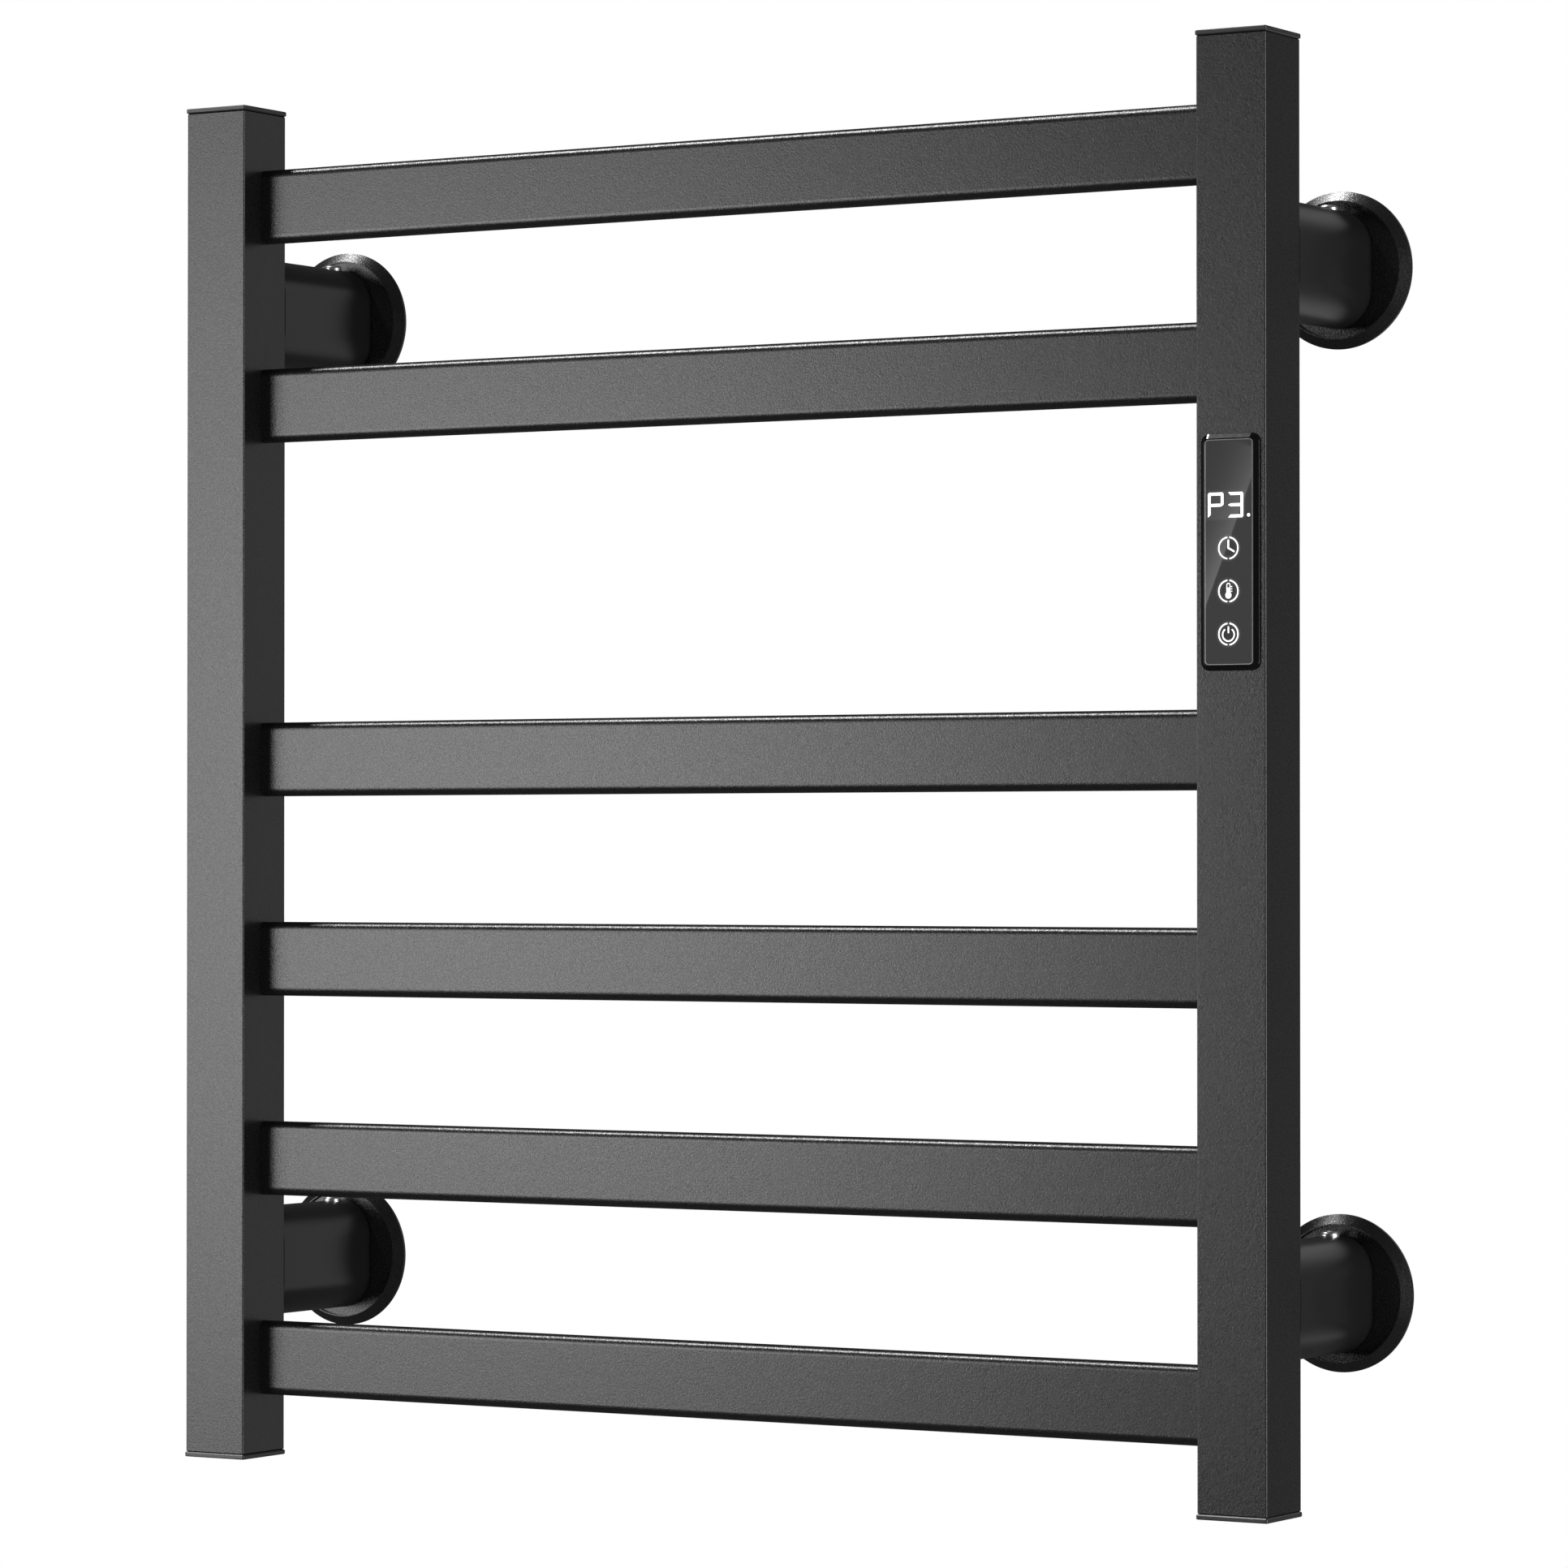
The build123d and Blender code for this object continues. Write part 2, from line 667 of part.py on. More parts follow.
save("control_bezel", control_bezel())
save("bezel_gasket", bezel_gasket_ring())
save("touch_glass", touch_glass())
save("glass_adhesive", glass_adhesive_ring())
save("display_board", display_board())
save("digit_display", digit_display())
save("touch_springs", *touch_springs())
save("key_lamps", *key_lamps())
save("power_board", power_board())
save("triac", triac())
save("capacitor", capacitor())
save("box_cover", box_cover())
save("cover_screws", *cover_screws())

save("heating_cable", heating_cable())
save("cable_splices", *cable_splices())
save("upper_cold_lead", *upper_cold_lead())
save("lower_cold_lead", lower_cold_lead())
save("thermal_fuse", thermal_fuse())
save("supply_leads", *supply_leads())
save("temperature_sensor", temperature_sensor())
save("sensor_lead", sensor_lead())
save("sensor_clip", sensor_clip())
save("terminal_block", terminal_block())
save("earth_stud", earth_stud())
save("earth_ring", earth_ring())
save("earth_nut", earth_nut())
save("earth_lead", earth_lead())
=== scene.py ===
import json
import math

import bmesh
import bpy
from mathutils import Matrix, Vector


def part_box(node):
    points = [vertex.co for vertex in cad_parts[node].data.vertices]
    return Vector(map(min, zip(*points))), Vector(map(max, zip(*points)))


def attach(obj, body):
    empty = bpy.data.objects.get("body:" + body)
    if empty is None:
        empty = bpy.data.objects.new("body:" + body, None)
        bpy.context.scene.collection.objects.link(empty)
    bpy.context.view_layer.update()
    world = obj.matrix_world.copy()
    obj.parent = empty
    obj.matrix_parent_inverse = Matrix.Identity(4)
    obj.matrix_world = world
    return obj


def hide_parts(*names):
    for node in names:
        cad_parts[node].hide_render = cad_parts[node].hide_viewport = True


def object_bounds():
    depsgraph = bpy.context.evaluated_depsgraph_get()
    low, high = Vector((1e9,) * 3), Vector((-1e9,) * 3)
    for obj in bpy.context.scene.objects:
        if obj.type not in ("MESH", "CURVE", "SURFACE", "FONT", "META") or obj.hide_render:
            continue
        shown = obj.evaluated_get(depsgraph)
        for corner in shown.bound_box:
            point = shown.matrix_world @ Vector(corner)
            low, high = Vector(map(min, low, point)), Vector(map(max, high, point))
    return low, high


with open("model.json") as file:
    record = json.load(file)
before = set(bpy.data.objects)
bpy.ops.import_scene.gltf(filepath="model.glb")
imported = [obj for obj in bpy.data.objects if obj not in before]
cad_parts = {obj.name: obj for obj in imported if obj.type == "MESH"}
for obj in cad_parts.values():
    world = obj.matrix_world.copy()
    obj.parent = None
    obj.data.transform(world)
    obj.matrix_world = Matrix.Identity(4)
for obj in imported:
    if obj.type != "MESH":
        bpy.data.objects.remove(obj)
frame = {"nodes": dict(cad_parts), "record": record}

# Towel warmer rack: finishes, the glass touch panel, its lit marks, camera, lights and floor.
# Metres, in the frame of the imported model: +X right, +Y into the wall, +Z up.

cadBox = [list(corner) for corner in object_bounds()]
parts = frame["nodes"]
print("frame loaded:", len(parts), "nodes")

nearlyAlong = 0.9  # share of a direction that has to lie along an axis


def deselectAll():
    if bpy.context.object and bpy.context.object.mode != "OBJECT":
        bpy.ops.object.mode_set(mode="OBJECT")
    bpy.ops.object.select_all(action="DESELECT")


def selectOnly(piece):
    deselectAll()
    piece.select_set(True)
    bpy.context.view_layer.objects.active = piece


# moves the place, turn and size into the mesh
def applyPlace():
    bpy.ops.object.transform_apply(location=True, rotation=True, scale=True)


def startEdit(piece):
    selectOnly(piece)
    bpy.ops.object.mode_set(mode="EDIT")
    bpy.ops.mesh.select_mode(type="FACE")
    bpy.ops.mesh.select_all(action="DESELECT")


def endEdit():
    bpy.ops.object.mode_set(mode="OBJECT")


def pickFaces(piece, wanted):
    bpy.ops.mesh.select_mode(type="FACE")
    bpy.ops.mesh.select_all(action="DESELECT")
    mesh = bmesh.from_edit_mesh(piece.data)
    for face in mesh.faces:
        face.select_set(wanted(face.calc_center_median(), face.normal))
    bmesh.update_edit_mesh(piece.data)


def pickEdges(piece, wanted):
    bpy.ops.mesh.select_mode(type="EDGE")
    bpy.ops.mesh.select_all(action="DESELECT")
    mesh = bmesh.from_edit_mesh(piece.data)
    for edge in mesh.edges:
        start = edge.verts[0].co
        end = edge.verts[1].co
        edge.select_set(wanted((start + end) / 2, (end - start).normalized()))
    bmesh.update_edit_mesh(piece.data)


def pickPoints(piece, wanted):
    bpy.ops.mesh.select_mode(type="VERT")
    bpy.ops.mesh.select_all(action="DESELECT")
    mesh = bmesh.from_edit_mesh(piece.data)
    for point in mesh.verts:
        point.select_set(wanted(point.co))
    mesh.select_flush(True)
    bmesh.update_edit_mesh(piece.data)


# the place goes into the mesh, then the finish and the body are given
def settle(piece, finish, body, smoothAngle):
    selectOnly(piece)
    applyPlace()
    bpy.ops.object.shade_smooth_by_angle(angle=math.radians(smoothAngle))
    piece.data.materials.clear()
    piece.data.materials.append(finish)
    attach(piece, body)


def newFinish(name, colour, roughness, metallic=0.0, specular=0.5):
    finish = bpy.data.materials.new(name)
    finish.use_nodes = True
    tree = finish.node_tree
    shader = tree.nodes["Principled BSDF"]
    shader.inputs["Base Color"].default_value = (*colour, 1)
    shader.inputs["Roughness"].default_value = roughness
    shader.inputs["Metallic"].default_value = metallic
    shader.inputs["Specular IOR Level"].default_value = specular
    return finish, tree, shader


def objectCoords(tree):
    return tree.nodes.new("ShaderNodeTexCoord").outputs["Object"]


def addNoise(tree, coords, size, detail=2.0, distortion=0.0):
    noise = tree.nodes.new("ShaderNodeTexNoise")
    noise.inputs["Scale"].default_value = 1 / size
    noise.inputs["Detail"].default_value = detail
    noise.inputs["Distortion"].default_value = distortion
    tree.links.new(coords, noise.inputs["Vector"])
    return noise.outputs["Fac"]


# where most of a noise's values lie
noiseRange = (0.25, 0.75)


def addMapRange(tree, value, fromLow, fromHigh, toLow, toHigh):
    mapping = tree.nodes.new("ShaderNodeMapRange")
    mapping.inputs["From Min"].default_value = fromLow
    mapping.inputs["From Max"].default_value = fromHigh
    mapping.inputs["To Min"].default_value = toLow
    mapping.inputs["To Max"].default_value = toHigh
    tree.links.new(value, mapping.inputs["Value"])
    return mapping


# a noise's middle range becomes low..high
def spread(tree, value, low, high):
    return addMapRange(tree, value, *noiseRange, low, high).outputs["Result"]


def addMath(tree, operation, first, second=None):
    node = tree.nodes.new("ShaderNodeMath")
    node.operation = operation
    for socket, value in zip(node.inputs, (first, second)):
        if value is None:
            continue
        if isinstance(value, (int, float)):
            socket.default_value = value
        else:
            tree.links.new(value, socket)
    return node.outputs[0]


def addBump(tree, height, depth, strength=None, under=None):
    bump = tree.nodes.new("ShaderNodeBump")
    bump.inputs["Distance"].default_value = depth
    tree.links.new(height, bump.inputs["Height"])
    if strength is not None:
        tree.links.new(strength, bump.inputs["Strength"])
    if under is not None:
        tree.links.new(under, bump.inputs["Normal"])
    return bump.outputs["Normal"]


def tintBetween(tree, factor, dark, light):
    mix = tree.nodes.new("ShaderNodeMix")
    mix.data_type = "RGBA"
    mix.inputs["A"].default_value = (*dark, 1)
    mix.inputs["B"].default_value = (*light, 1)
    tree.links.new(factor, mix.inputs["Factor"])
    return mix.outputs["Result"]


coatLook = {
    "dark": (0.004, 0.004, 0.0043),
    "light": (0.010, 0.010, 0.0106),
    "roughness": (0.22, 0.34),
    "grainSize": 0.0007,
    "grainDetail": 3,
    "grainDistortion": 0.8,
    "grainDepth": 0.00008,
    "orangePeelSize": 0.006,
    "orangePeelDetail": 1,
    "orangePeelDepth": 0.00002,
    "sidewaysFall": 4.0,  # how sharply the grain fades as a face turns sideways
    "smoothRoughness": (0.28, 0.32),
    "smoothGrain": 0.1,  # share of the grain left on the smooth coat
}


# black powder coat: fine grain over a slow orange peel, nearly smooth on faces turned sideways
def powderCoat(name, grain, roughness):
    finish, tree, shader = newFinish(name, coatLook["dark"], roughness[0])
    coords = objectCoords(tree)
    fine = addNoise(tree, coords, coatLook["grainSize"], detail=coatLook["grainDetail"],
                    distortion=coatLook["grainDistortion"])
    peel = addNoise(tree, coords, coatLook["orangePeelSize"], detail=coatLook["orangePeelDetail"])
    tint = tintBetween(tree, fine, coatLook["dark"], coatLook["light"])
    tree.links.new(tint, shader.inputs["Base Color"])
    tree.links.new(spread(tree, fine, *roughness), shader.inputs["Roughness"])
    surface = tree.nodes.new("ShaderNodeNewGeometry")
    facing = tree.nodes.new("ShaderNodeSeparateXYZ")
    tree.links.new(surface.outputs["Normal"], facing.inputs["Vector"])
    sideways = addMath(tree, "ABSOLUTE", facing.outputs["X"])
    smoothed = addMath(tree, "POWER", sideways, coatLook["sidewaysFall"])
    grained = addMath(tree, "SUBTRACT", 1.0, smoothed)
    waves = addBump(tree, peel, coatLook["orangePeelDepth"])
    bumps = addBump(tree, fine, coatLook["grainDepth"] * grain, strength=grained, under=waves)
    tree.links.new(bumps, shader.inputs["Normal"])
    return finish


mouldedSpread = 0.1  # share by which the grain varies the roughness


# moulded or painted surface with a fine spark texture
def plainMoulded(name, dark, light, roughness, grainSize=0.0006, grainDepth=0.00001, specular=0.5):
    finish, tree, shader = newFinish(name, dark, roughness, specular=specular)
    grain = addNoise(tree, objectCoords(tree), grainSize)
    tree.links.new(tintBetween(tree, grain, dark, light), shader.inputs["Base Color"])
    tree.links.new(spread(tree, grain, roughness * (1 - mouldedSpread),
                          roughness * (1 + mouldedSpread)), shader.inputs["Roughness"])
    tree.links.new(addBump(tree, grain, grainDepth), shader.inputs["Normal"])
    return finish


metalLook = {
    "stretch": (1, 1, 12),  # the marks run across Z
    "markSize": 0.0012,
    "markDetail": 3,
    "markDepth": 0.000004,
    "spread": 0.2,
}


# metal with fine turning or drawing marks
def brushedMetal(name, dark, light, roughness):
    finish, tree, shader = newFinish(name, light, roughness, metallic=1.0)
    mapping = tree.nodes.new("ShaderNodeMapping")
    mapping.inputs["Scale"].default_value = metalLook["stretch"]
    tree.links.new(objectCoords(tree), mapping.inputs["Vector"])
    marks = addNoise(tree, mapping.outputs["Vector"], metalLook["markSize"],
                     detail=metalLook["markDetail"])
    tree.links.new(tintBetween(tree, marks, dark, light), shader.inputs["Base Color"])
    tree.links.new(spread(tree, marks, roughness * (1 - metalLook["spread"]),
                          roughness * (1 + metalLook["spread"])), shader.inputs["Roughness"])
    tree.links.new(addBump(tree, marks, metalLook["markDepth"]), shader.inputs["Normal"])
    return finish


boardLook = {
    "mask": (0.01, 0.09, 0.04),
    "roughness": 0.35,
    "trackScale": 180,
    "trackGap": 0.03,
    "trackColours": ((0.008, 0.075, 0.035), (0.010, 0.095, 0.045)),
    "gapColour": (0.05, 0.22, 0.08),
    "trackDepth": 0.00003,
}


# green solder mask over rows of copper tracks
def circuitBoard(name):
    finish, tree, shader = newFinish(name, boardLook["mask"], boardLook["roughness"])
    coords = objectCoords(tree)
    tracks = tree.nodes.new("ShaderNodeTexBrick")
    tracks.inputs["Scale"].default_value = boardLook["trackScale"]
    tracks.inputs["Mortar Size"].default_value = boardLook["trackGap"]
    for socket, colour in zip(("Color1", "Color2"), boardLook["trackColours"]):
        tracks.inputs[socket].default_value = (*colour, 1)
    tracks.inputs["Mortar"].default_value = (*boardLook["gapColour"], 1)
    tree.links.new(coords, tracks.inputs["Vector"])
    tree.links.new(tracks.outputs["Color"], shader.inputs["Base Color"])
    relief = addBump(tree, tracks.outputs["Fac"], boardLook["trackDepth"])
    tree.links.new(relief, shader.inputs["Normal"])
    return finish


# dark tint, light tint and roughness of each packed material slot
finishes = {
    "powder_coat": powderCoat("grainedPowderCoat", 1.0, coatLook["roughness"]),
    "cap_plastic": plainMoulded("capPlastic", (0.012, 0.012, 0.013), (0.018, 0.018, 0.019), 0.36),
    "cast_base": plainMoulded("castBase", (0.03, 0.03, 0.032), (0.05, 0.05, 0.052), 0.5,
                              grainSize=0.0015, grainDepth=0.00005),
    "screw_steel": brushedMetal("polishedSteel", (0.55, 0.55, 0.56), (0.82, 0.82, 0.83), 0.34),
    "rubber": plainMoulded("blackRubber", (0.012, 0.012, 0.012), (0.02, 0.02, 0.02), 0.7,
                           grainSize=0.0008, grainDepth=0.00002),
    "bezel_plastic": plainMoulded("glossBlackPlastic", (0.003, 0.003, 0.003),
                                  (0.004, 0.004, 0.004), 0.12,
                                  grainSize=0.002, grainDepth=0.000001, specular=0.3),
    "touch_glass": plainMoulded("glassBack", (0.004, 0.004, 0.004), (0.006, 0.006, 0.006), 0.1),
    "circuit_board": circuitBoard("circuitBoard"),
    "display_module": plainMoulded("displayModule", (0.5, 0.5, 0.5), (0.6, 0.6, 0.6), 0.4),
    "lamp": plainMoulded("lampBody", (0.7, 0.66, 0.5), (0.8, 0.76, 0.6), 0.3),
    "component_black": plainMoulded("componentBlack", (0.015, 0.015, 0.015),
                                    (0.03, 0.03, 0.03), 0.5),
    "component_grey": plainMoulded("componentGrey", (0.2, 0.2, 0.21), (0.26, 0.26, 0.27), 0.45),
    "silicone": plainMoulded("siliconeRed", (0.32, 0.03, 0.02), (0.4, 0.05, 0.03), 0.5),
    "tin_plate": brushedMetal("tinPlate", (0.6, 0.6, 0.58), (0.75, 0.75, 0.72), 0.3),
    "aluminium_clip": brushedMetal("aluminiumClip", (0.6, 0.61, 0.62), (0.78, 0.79, 0.8), 0.35),
    "terminal_plastic": plainMoulded("terminalPlastic", (0.62, 0.6, 0.54),
                                     (0.7, 0.68, 0.62), 0.5),
    "lead_brown": plainMoulded("brownSleeve", (0.10, 0.035, 0.015), (0.13, 0.05, 0.02), 0.45),
    "lead_green": plainMoulded("greenYellowSleeve", (0.03, 0.22, 0.03), (0.5, 0.45, 0.03), 0.45,
                               grainSize=0.004),
}
smoothCoat = powderCoat("smoothPowderCoat", coatLook["smoothGrain"], coatLook["smoothRoughness"])

for entry in frame["record"]["subparts"]:
    node = parts[entry["node"]]
    isStandoff = entry["node"].startswith("standoff")
    slotFinish = finishes[entry["material_slot"]]
    node.material_slots[0].material = smoothCoat if isStandoff else slotFinish
print("finishes on the packed nodes")


glassLook = {
    "front": 0.00006,  # glass front behind the panel's front plane
    "corner": 0.0017,
    "cornerSteps": 8,
    "edge": 0.0003,  # bevelled front edge
    "edgeSteps": 2,
    "smoothAngle": 50,
    "colour": (0.053, 0.053, 0.055),
    "roughness": 0.015,
    "smudgeSize": 0.012,
    "smudgeRoughness": 1.4,  # times the clean glass's
    # light grey colour of the bevelled edge: a painted highlight that stands in for the light line
    # the edge catches
    "edgeHighlightColour": (0.42, 0.42, 0.43),
    "edgeHighlightLighter": 1.1,
    "edgeRoughness": 0.5,
    "edgeGrainSize": 0.0004,
    "edgeGrainDepth": 0.000005,
    # painted glow: light that the glass itself gives off round the marks
    "haloLight": 0.05,
    "haloReach": 0.0016,
    "figureHalo": 0.4,  # share of the halo behind the figures
}
# what all lit marks share
markLook = {
    "depth": 0.00004,
    "colour": (0.9, 0.9, 0.9),
    "roughness": 0.4,
    "grainSize": 0.003,
    "light": 0.95,
    "leastLight": 0.97,  # share of the light in the grain's dark spots
    "pointReach": 0.00003,  # a point this near to a place is picked
    "endRound": 0.96,  # share of half the stroke
    "endSteps": 5,
    "smoothAngle": 30,
}
# places on the panel are measured from the glass middle
figureLook = {
    "left": (-0.00888, -0.00036),
    "segments": ("abefg", "abcdg"),
    "width": 0.0067,
    "height": 0.0098,
    "middle": 0.0181,
    "stroke": 0.00116,
    "hairline": 0.00006,  # half the gap between two segments
    "cornerCut": 0.0004,
    "cornerSteps": 2,
    "pointPlace": (0.00862, 0.01403),
    "pointRadius": 0.00066,
    "pointSides": 24,
}
keyLook = {
    "left": -0.0001,
    "timerMiddle": 0.0015,
    "heatMiddle": -0.0151,
    "powerMiddle": -0.0317,
    "ringRadius": 0.00412,
    "ringStroke": 0.00053,
    "ringGap": 6,  # degrees each side
    "ringSides": 120,
    "ringEndRound": 0.47,  # share of the stroke
    "ringEndSteps": 4,
}
glassLow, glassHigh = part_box("touch_glass")
glassMiddle = (glassLow + glassHigh) / 2
glassFront = glassLow.y + glassLook["front"]


def panelPlace(x, z):
    return Vector((glassMiddle.x + x, glassFront, glassMiddle.z + z))


# falls smoothly from 1 at the mark to 0 at the halo's reach
def addHalo(tree, gap):
    fade = addMapRange(tree, gap, 0.0, glassLook["haloReach"], 1.0, 0.0)
    fade.interpolation_type = "SMOOTHERSTEP"
    return fade.outputs["Result"]


def addRingHalo(tree, coords, middleZ):
    away = tree.nodes.new("ShaderNodeVectorMath")
    away.operation = "DISTANCE"
    away.inputs[1].default_value = panelPlace(keyLook["left"], middleZ)
    tree.links.new(coords, away.inputs[0])
    gap = addMath(tree, "SUBTRACT", away.outputs["Value"], keyLook["ringRadius"])
    return addHalo(tree, addMath(tree, "ABSOLUTE", gap))


# how far a coordinate lies outside middle - half .. middle + half
def addGap(tree, coordinate, middle, half):
    offset = addMath(tree, "ABSOLUTE", addMath(tree, "SUBTRACT", coordinate, middle))
    return addMath(tree, "SUBTRACT", offset, half)


def addFigureHalo(tree, coords):
    place = tree.nodes.new("ShaderNodeSeparateXYZ")
    tree.links.new(coords, place.inputs["Vector"])
    left = glassMiddle.x + figureLook["left"][0]
    right = glassMiddle.x + figureLook["left"][1] + figureLook["width"]
    acrossGap = addGap(tree, place.outputs["X"], (left + right) / 2, (right - left) / 2)
    upGap = addGap(tree, place.outputs["Z"], glassMiddle.z + figureLook["middle"],
                   figureLook["height"] / 2)
    halo = addHalo(tree, addMath(tree, "MAXIMUM", acrossGap, upGap))
    return addMath(tree, "MULTIPLY", halo, glassLook["figureHalo"])


# dark printed glass that glows itself: a painted halo of light round each lit mark
def makeGlassFinish():
    finish, tree, shader = newFinish("touchGlass", glassLook["colour"], glassLook["roughness"])
    coords = objectCoords(tree)
    smudge = addNoise(tree, coords, glassLook["smudgeSize"])
    smudged = spread(tree, smudge, glassLook["roughness"],
                     glassLook["roughness"] * glassLook["smudgeRoughness"])
    tree.links.new(smudged, shader.inputs["Roughness"])
    halo = addFigureHalo(tree, coords)
    for key in ("timerMiddle", "heatMiddle", "powerMiddle"):
        halo = addMath(tree, "MAXIMUM", halo, addRingHalo(tree, coords, keyLook[key]))
    shader.inputs["Emission Color"].default_value = (1, 1, 1, 1)
    glow = addMath(tree, "MULTIPLY", halo, glassLook["haloLight"])
    tree.links.new(glow, shader.inputs["Emission Strength"])
    return finish


def makeMarkFinish():
    finish, tree, shader = newFinish("litMark", markLook["colour"], markLook["roughness"])
    grain = addNoise(tree, objectCoords(tree), markLook["grainSize"])
    shader.inputs["Emission Color"].default_value = (1, 1, 1, 1)
    glow = spread(tree, grain, markLook["light"] * markLook["leastLight"], markLook["light"])
    tree.links.new(glow, shader.inputs["Emission Strength"])
    return finish


glassFinish = makeGlassFinish()
# the glass edge's light grey colour is a painted highlight, not the glass's own tone
edgeHighlightFinish = plainMoulded("paintedEdgeHighlight", glassLook["edgeHighlightColour"],
                          [value * glassLook["edgeHighlightLighter"] for value in glassLook["edgeHighlightColour"]],
                          glassLook["edgeRoughness"], glassLook["edgeGrainSize"],
                          glassLook["edgeGrainDepth"])
markFinish = makeMarkFinish()


# pane with rounded corners and a bevelled front edge, which is coloured light grey as a painted
# highlight
def makeGlass():
    size = glassHigh - glassLow
    frontFacing, sideFacing = -0.99, -0.1  # how a normal leans forwards: flat front, bevelled edge with the painted highlight
    deselectAll()
    bpy.ops.mesh.primitive_cube_add(size=1,
                                    location=glassMiddle + Vector((0, glassLook["front"] / 2, 0)),
                                    scale=(size.x, size.y - glassLook["front"], size.z))
    pane = bpy.context.object
    pane.name = "glassPane"
    applyPlace()
    startEdit(pane)
    pickEdges(pane, lambda middle, along: abs(along.y) > nearlyAlong)
    bpy.ops.mesh.bevel(offset=glassLook["corner"], segments=glassLook["cornerSteps"],
                       affect="EDGES")
    pickFaces(pane, lambda middle, normal: normal.y < -nearlyAlong)
    bpy.ops.mesh.region_to_loop()
    bpy.ops.mesh.bevel(offset=glassLook["edge"], segments=glassLook["edgeSteps"], affect="EDGES")
    pickFaces(pane, lambda middle, normal: normal.y < frontFacing)
    bpy.ops.mesh.inset(thickness=glassLook["edge"] / 2)
    endEdit()
    settle(pane, glassFinish, "rack", glassLook["smoothAngle"])
    pane.data.materials.append(edgeHighlightFinish)
    for face in pane.data.polygons:
        face.material_index = 1 if frontFacing < face.normal.y < sideFacing else 0
    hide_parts("touch_glass")


# upright plane in the marks' layer
def addMarkPlane(name, x, z, width, height):
    deselectAll()
    bpy.ops.mesh.primitive_plane_add(size=1, location=panelPlace(x, z),
                                     rotation=(math.radians(90), 0, 0))
    plane = bpy.context.object
    plane.name = name
    plane.scale = (width, height, 1)
    applyPlace()
    return plane


def pickNear(piece, x, z):
    spot = panelPlace(x, z)
    pickPoints(piece, lambda point: (point - spot).length < markLook["pointReach"])


def pushPoint(piece, x, z, moveX, moveZ):
    pickNear(piece, x, z)
    bpy.ops.transform.translate(value=(moveX, 0, moveZ))


def roundPoint(piece, x, z, radius, steps):
    pickNear(piece, x, z)
    bpy.ops.mesh.bevel(offset=radius, segments=steps, affect="VERTICES")


# thickens all of the piece in edit mode
def thickenMark():
    bpy.ops.mesh.select_mode(type="FACE")
    bpy.ops.mesh.select_all(action="SELECT")
    forwards = (0, -markLook["depth"], 0)
    bpy.ops.mesh.extrude_region_move(TRANSFORM_OT_translate={"value": forwards})
    bpy.ops.mesh.select_all(action="SELECT")
    bpy.ops.mesh.normals_make_consistent(inside=False)
    endEdit()


def makePlainBar(name, x, z, width, height):
    bar = addMarkPlane(name, x, z, width, height)
    startEdit(bar)
    thickenMark()
    return bar


# level bar with a mitre at each end, its outer side up or down
def makeLevelSegment(name, left, right, outerZ, innerZ):
    bar = addMarkPlane(name, (left + right) / 2, (outerZ + innerZ) / 2,
                       right - left, abs(outerZ - innerZ))
    startEdit(bar)
    pushPoint(bar, left, innerZ, figureLook["stroke"], 0)
    pushPoint(bar, right, innerZ, -figureLook["stroke"], 0)
    for x in (left, right):
        roundPoint(bar, x, outerZ, figureLook["cornerCut"], figureLook["cornerSteps"])
    thickenMark()
    return bar


# upright bar: full mitre at its outer end, half a mitre where it meets the middle bar
def makeUprightSegment(name, outerX, innerX, endZ, middleZ):
    bar = addMarkPlane(name, (outerX + innerX) / 2, (endZ + middleZ) / 2,
                       abs(outerX - innerX), abs(endZ - middleZ))
    away = math.copysign(figureLook["stroke"], middleZ - endZ)
    startEdit(bar)
    pushPoint(bar, innerX, endZ, 0, away)
    pushPoint(bar, innerX, middleZ, 0, -away / 2)
    roundPoint(bar, outerX, endZ, figureLook["cornerCut"], figureLook["cornerSteps"])
    thickenMark()
    return bar


# middle bar with a point at each end
def makeMiddleSegment(name, left, right, middleZ):
    half = figureLook["stroke"] / 2
    bar = addMarkPlane(name, (left + right) / 2, middleZ, right - left, 2 * half)
    startEdit(bar)
    pickEdges(bar, lambda middle, along: abs(along.z) > nearlyAlong)
    bpy.ops.mesh.subdivide(number_cuts=1)
    for z in (middleZ - half, middleZ + half):
        pushPoint(bar, left, z, 2 * half, 0)
        pushPoint(bar, right, z, -2 * half, 0)
    thickenMark()
    return bar


# all seven bars of one figure, modelled once at the first figure's place
def makeSegments():
    gap = figureLook["hairline"]
    stroke = figureLook["stroke"]
    left = figureLook["left"][0]
    right = left + figureLook["width"]
    middle = figureLook["middle"]
    low = middle - figureLook["height"] / 2
    high = low + figureLook["height"]
    barLeft, barRight = left + 2 * gap, right - 2 * gap  # a bar stops short of a corner
    barLow, barHigh = low + 2 * gap, high - 2 * gap
    return {
        "a": makeLevelSegment("barTop", barLeft, barRight, high, high - stroke),
        "d": makeLevelSegment("barLow", barLeft, barRight, low, low + stroke),
        "f": makeUprightSegment("barHighLeft", left, left + stroke, barHigh, middle + gap),
        "b": makeUprightSegment("barHighRight", right, right - stroke, barHigh, middle + gap),
        "e": makeUprightSegment("barLowLeft", left, left + stroke, barLow, middle - gap),
        "c": makeUprightSegment("barLowRight", right, right - stroke, barLow, middle - gap),
        "g": makeMiddleSegment("barMiddle", barLeft, barRight, middle),
    }


# disc made from a ring of points, filled and thickened
def makeDisc(name, x, z, radius, sides):
    deselectAll()
    bpy.ops.mesh.primitive_circle_add(vertices=sides, radius=radius, fill_type="NGON",
                                      rotation=(math.radians(90), 0, 0),
                                      location=panelPlace(x, z))
    disc = bpy.context.object
    disc.name = name
    applyPlace()
    startEdit(disc)
    thickenMark()
    return disc


